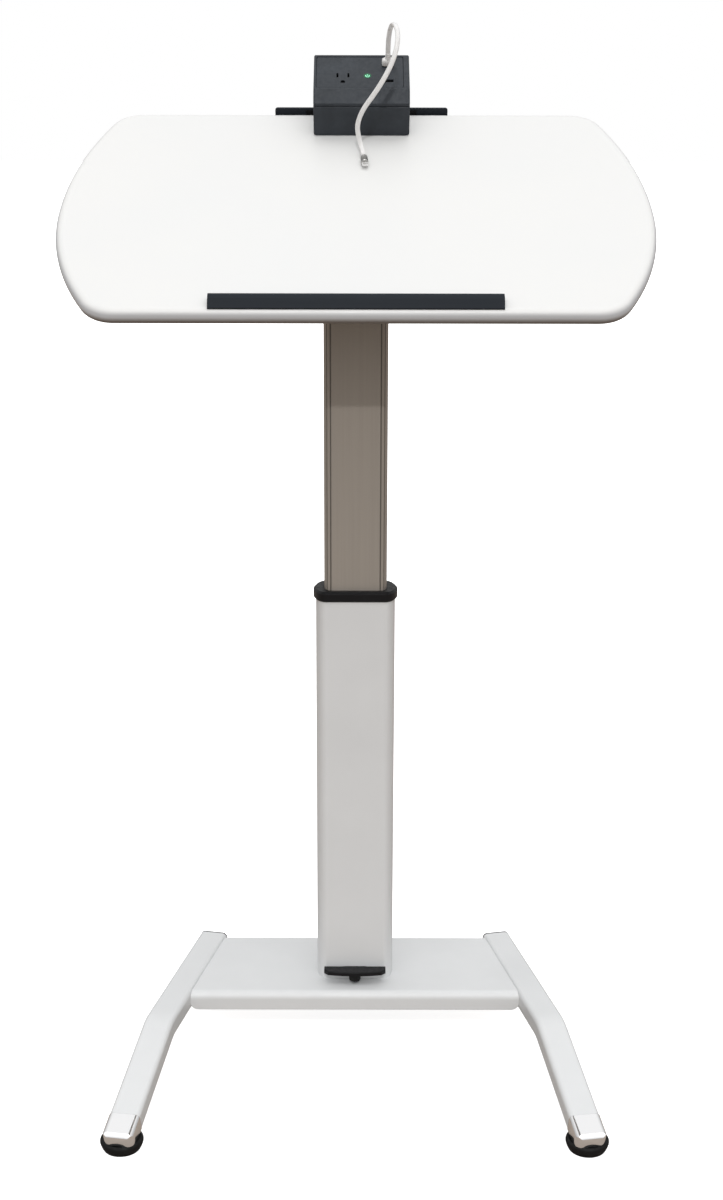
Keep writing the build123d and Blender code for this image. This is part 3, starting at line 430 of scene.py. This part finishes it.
def add_camera():
    """The photograph's eye: in front of the column's axis and looking down."""
    low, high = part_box("outer_column")
    axis_y = (low.y + high.y) / 2
    data = bpy.data.cameras.new("camera")
    data.lens, data.sensor_width, data.shift_x = LENS, SENSOR, SHIFT_X
    data.clip_start, data.clip_end = 0.05, 100.0
    camera = bpy.data.objects.new("camera", data)
    bpy.context.scene.collection.objects.link(camera)
    turn = Matrix.Rotation(radians(90 - LOOK_DOWN), 4, "X") @ Matrix.Rotation(radians(ROLL), 4, "Z")
    camera.matrix_world = Matrix.Translation((0, axis_y - EYE_BACK, EYE_HEIGHT)) @ turn
    bpy.context.scene.camera = camera


# ---------------------------------------------------------------- charging lead

def route_line():
    """Points along the smooth curve that the route controls."""
    data = bpy.data.curves.new("lead_line", "CURVE")
    data.dimensions, data.resolution_u = "3D", 14
    spline = data.splines.new("NURBS")
    spline.points.add(len(LEAD_ROUTE) - 1)
    for point, place in zip(spline.points, LEAD_ROUTE):
        point.co = (*place, 1.0)
    spline.order_u, spline.use_endpoint_u = 3, True
    holder = bpy.data.objects.new("lead_line", data)
    mesh = bpy.data.meshes.new_from_object(holder)
    line = [v.co.copy() for v in mesh.vertices]
    bpy.data.meshes.remove(mesh)
    bpy.data.curves.remove(data)
    return line


def lead_frames(line):
    """A frame at each point of the line: the flat lead's width stays near the X axis and twists a little."""
    frames = []
    for i, here in enumerate(line):
        along = line[min(i + 1, len(line) - 1)] - line[max(i - 1, 0)]
        twist = radians(LEAD_TWIST) * sin(LEAD_HALF_WAVES * pi * i / len(line))
        frames.append(aimed(here, along, (1, 0, 0)) @ Matrix.Rotation(twist, 4, "Z"))
    return frames


def twin_section(count=28):
    """Two round cores side by side with a shallow groove between them."""
    offset = LEAD_WIDTH / 2 - LEAD_CORE_R
    section = []
    for i in range(count):
        angle = 2 * pi * i / count
        side = offset if cos(angle) >= 0 else -offset
        x = side + LEAD_CORE_R * cos(angle)
        y = LEAD_CORE_R * sin(angle)
        neck = 1.0 - LEAD_GROOVE * max(0.0, 1 - abs(x) / offset)
        section.append(Vector((x, y * neck, 0)))
    return section


def lead():
    """The lead's skin, and the line it runs along."""
    line = route_line()
    section = twin_section()
    points, faces = loft([[here @ p for p in section] for here in lead_frames(line)])
    made = piece("charging_lead", points, faces, ["lead_white"], "top")
    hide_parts("charge_lead")
    return made, line


def ribbed_ring(radius, depth, z, ribs=16, count=96):
    """A circle with narrow grooves of some depth between its ribs."""
    ring = []
    for i in range(count):
        angle = 2 * pi * i / count
        reach = radius - depth * (0.5 - 0.5 * cos(ribs * angle)) ** 3
        ring.append(Vector((reach * cos(angle), reach * sin(angle), z)))
    return ring


def connector(end_frame):
    """White flared collar, ribbed metal barrel and contact tongue with its five pads."""
    collar = round_skin([(2.4, -6.0), (2.9, -5.6), (3.0, -3.0), (3.9, -0.4), (3.9, 0.6)])
    barrel_r = 4.2 * MM
    # share of that radius, height, depth of the grooves between the ribs
    stations = [(0.90, 0.3, 0.0), (0.97, 0.6, 0.0), (1.0, 1.2, 0.0), (1.0, 2.2, 0.45), (1.0, 10.2, 0.45),
                (1.0, 10.9, 0.0), (0.96, 11.6, 0.0), (0.86, 12.0, 0.0)]
    barrel = loft([ribbed_ring(barrel_r * scale, depth * MM, z * MM) for scale, z, depth in stations])
    tongue = squared_skin([(6.2, 1.2, 11.5), (6.6, 1.6, 12.2), (6.6, 1.6, 17.6), (6.0, 1.1, 18.4)], 6.0)
    pitch, half, low, high = 1.1, 0.36, 13.0, 17.2
    pads = []
    for i in range(-2, 3):
        left, right = i * pitch - half, i * pitch + half
        corners = (left, low), (right, low), (right, high), (left, high)
        pads.append(loft([[Vector((x, y, z)) * MM for x, z in corners] for y in (0.74, 0.86)]))
    points, faces, slots = joined((collar, 0), (barrel, 1), (tongue, 0), *((pad, 1) for pad in pads))
    made = piece("connector_body", points, faces, ["lead_white", "bright_metal"], "top", slots,
                 place=end_frame)
    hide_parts("lead_connector")
    return made


def plug(start_frame):
    """Moulded grip on a metal shell, with a ringed sleeve where the lead leaves it.
    The frame is at the sleeve's end with +Z along the lead, so the plug lies below it."""
    end = 16.0
    grip = squared_skin([(12.4, 6.4, 0.6), (13.6, 7.6, 0.9), (14.0, 8.0, 1.6), (14.0, 8.0, 5.0),
                         (13.6, 7.7, 6.6), (12.2, 6.9, 7.7), (9.4, 6.2, 8.3)], 5.0, end)
    rows = []
    for step in range(4):
        z = 8.0 + step * 2.0
        crest = 3.45 - step * 0.18
        groove = crest - 0.45
        rows += [(crest, z), (crest, z + 1.3), (groove, z + 1.45), (groove, z + 1.85)]
    sleeve = round_skin(rows + [(2.75, end)], end)
    shell = squared_skin([(12.2, 4.8, -14.0), (12.2, 4.8, 0.7)], 14.0, end, closed_ends=False)
    inner = squared_skin([(11.4, 4.0, 0.7), (11.4, 4.0, -14.0)], 14.0, end, closed_ends=False)
    points, faces, slots = joined((grip, 0), (sleeve, 0), (shell, 1), (inner, 1))
    made = piece("plug_body", points, faces, ["lead_white", "bright_metal"], "top", slots,
                 place=start_frame)
    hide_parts("usb_plug")
    return made


def add_lead():
    """The lead with its plug and connector, as one cord."""
    made, line = lead()
    slope = radians(PANEL_SLOPE)
    out = Vector((0, -sin(slope), cos(slope)))
    plug_piece = plug(aimed(line[0], out, (1, 0, 0)))
    connector_piece = connector(aimed(line[-1], line[-1] - line[-2], (1, 0, 0)))


# ---------------------------------------------------------------- front feet

def rubber_foot(side_name):
    """Cup-shaped glide: it flares up from the floor to a rounded rim, with a shallow dish on top."""
    low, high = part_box("foot_" + side_name)
    centre, radius, height = (low + high) / 2, (high.x - low.x) / 2, high.z
    profile = [(0.001, 0.0), (0.80, 0.0), (0.86, 0.06), (0.93, 0.30), (0.975, 0.52), (1.0, 0.68), (1.0, 0.80),
               (0.985, 0.90), (0.95, 0.97), (0.90, 1.0), (0.86, 0.985), (0.83, 0.93), (0.80, 0.92),
               (0.001, 0.94)]      # shares of the radius and of the height
    points, faces = loft([circle_ring(r * radius, z * height, 72) for r, z in profile])
    place = Matrix.Translation((centre.x, centre.y, 0))
    made = piece("foot_" + side_name + "_glide", points, faces, ["black_rubber"], "stand", place=place)
    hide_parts("foot_" + side_name)


# ---------------------------------------------------------------- rail slots and lamp symbol

def slot_shade_liners():
    """A black moulded liner in each blind slot of the rear rail, as painted shade for the slot's dark inside.
    """
    low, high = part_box("rear_rail")
    slope = radians(TILT)
    out, up = Vector((0, -cos(slope), -sin(slope))), Vector((0, -sin(slope), cos(slope)))
    # the rail's highest edge, and of its two lines the one nearer the reader
    vertices = [Vector(v.co) for v in nodes["rear_rail"].data.vertices]
    front_top = max(vertices, key=lambda v: v.dot(up) * 100 + v.dot(out))
    sections = ((0.0, -1.9), (0.0, -0.5), (0.6, -0.2), (1.6, -0.2), (2.0, -0.9))     # inset, height in mm
    rings = [squared_ring(SLOT_W - inset * MM, SLOT_H - inset * MM, z * MM, 12.0) for inset, z in sections]
    for side_name, x in (("left", low.x + SLOT_END + SLOT_W / 2), ("right", high.x - SLOT_END - SLOT_W / 2)):
        centre = Vector((x, front_top.y, front_top.z)) - up * (SLOT_BELOW_TOP + SLOT_H / 2)
        place = aimed(centre, out, (1, 0, 0))
        # each liner is painted shade: a black piece where the slot is only dark
        piece("rail_slot_shade_liner_" + side_name, *loft(rings), ["black_plastic"], "top", place=place)


def lamp_mark():
    """A lit standby symbol, an open ring and a bar, on the lamp's lens."""
    low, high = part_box("lamp_lens")
    slope = radians(PANEL_SLOPE)
    out = Vector((0, -sin(slope), cos(slope)))
    centre = (low + high) / 2
    reach = max((Vector(v.co) - centre).dot(out) for v in nodes["lamp_lens"].data.vertices)
    place = aimed(centre + out * (reach + 0.05 * MM), out, (1, 0, 0))
    radius, half, thick = 2.15 * MM, 0.42 * MM, 0.12 * MM
    section = (-half, 0), (half, 0), (half, thick), (-half, thick)
    start, sweep, steps = radians(125), radians(290), 24
    rings = []
    for i in range(steps + 1):
        angle = start + sweep * i / steps
        rings.append([Vector(((radius + r) * cos(angle), (radius + r) * sin(angle), z)) for r, z in section])
    bar = [[Vector((x, y, z)) for x, z in section] for y in (0.4 * MM, 2.6 * MM)]
    points, faces, _ = joined((loft(rings), 0), (loft(bar), 0))
    made = piece("lamp_symbol", points, faces, ["green_lens"], "top", place=place, smooth=False)
    made.data.materials[0] = lamp_glow().material


# ---------------------------------------------------------------- room and light

def add_stage():
    """A pale floor that gives back only a dim, warm light."""
    floor_mesh = bpy.data.meshes.new("studio_floor")
    signs = (-1, -1), (1, -1), (1, 1), (-1, 1)
    floor_mesh.from_pydata([(x * FLOOR_REACH, y * FLOOR_REACH, 0) for x, y in signs], [], [(0, 1, 2, 3)])
    floor = bpy.data.objects.new("studio_floor", floor_mesh)
    bpy.context.scene.collection.objects.link(floor)
    f = Finish("studio_floor", (0.93, 0.93, 0.93), 0.8, Specular_IOR_Level=0.1,
               Emission_Color=(1, 1, 1, 1), Emission_Strength=FLOOR_GLOW)
    f.tint(f.noise(2.0, 2.0), (0.925, 0.925, 0.925))
    dim = f.node("BsdfDiffuse", Color=FLOOR_GIVES_BACK)
    seen = f.node("MixShader")
    f.tree.links.new(f.node("LightPath").outputs["Is Camera Ray"], seen.inputs[0])
    f.tree.links.new(dim.outputs["BSDF"], seen.inputs[1])
    f.tree.links.new(f.shader.outputs["BSDF"], seen.inputs[2])
    f.tree.links.new(seen.outputs["Shader"], f.tree.nodes["Material Output"].inputs["Surface"])
    floor_mesh.materials.append(f.material)


def add_sky():
    """White to the camera; as light, dim at the horizon and bright overhead, like a large softbox."""
    world = bpy.data.worlds.new("studio")
    world.use_nodes = True
    bpy.context.scene.world = world
    tree = world.node_tree
    new, link = tree.nodes.new, tree.links.new
    shader, output = tree.nodes["Background"], tree.nodes["World Output"]
    place, split, level = new("ShaderNodeTexCoord"), new("ShaderNodeSeparateXYZ"), new("ShaderNodeMapRange")
    link(place.outputs["Generated"], split.inputs["Vector"])
    link(split.outputs["Z"], level.inputs["Value"])
    level.inputs["To Min"].default_value = HORIZON_LIGHT
    level.inputs["To Max"].default_value = OVERHEAD_LIGHT
    link(level.outputs["Result"], shader.inputs["Strength"])
    shader.inputs["Color"].default_value = (1, 1, 1, 1)
    seen, mix, path = new("ShaderNodeBackground"), new("ShaderNodeMixShader"), new("ShaderNodeLightPath")
    seen.inputs["Color"].default_value = (1, 1, 1, 1)
    seen.inputs["Strength"].default_value = 1.0
    link(path.outputs["Is Camera Ray"], mix.inputs["Fac"])
    link(shader.outputs["Background"], mix.inputs[1])
    link(seen.outputs["Background"], mix.inputs[2])
    link(mix.outputs["Shader"], output.inputs["Surface"])


def add_sun(name, energy, spread, elevation, bearing):
    """A distant light: its height above the floor, and its bearing from straight in front."""
    data = bpy.data.lights.new(name, "SUN")
    data.energy, data.angle = energy, radians(spread)
    lamp = bpy.data.objects.new(name, data)
    lamp.rotation_euler = (radians(90 - elevation), 0, radians(bearing))
    bpy.context.scene.collection.objects.link(lamp)


def add_lights():
    """A broad overhead bank, a broad front fill, and a weak hard light that draws the worktop's shadow."""
    for light in LIGHTS:
        add_sun(*light)
    bpy.context.scene.view_settings.view_transform = "Standard"


# ---------------------------------------------------------------- the scene

finishes = all_finishes()
add_camera()
add_lead()
for subpart in frame["record"]["subparts"]:
    node = nodes[subpart["node"]]
    for place in node.material_slots:
        place.material = finishes[subpart["material_slot"]]
for side in ("left", "right"):
    rubber_foot(side)
lamp_mark()
slot_shade_liners()
add_stage()
add_sky()
add_lights()
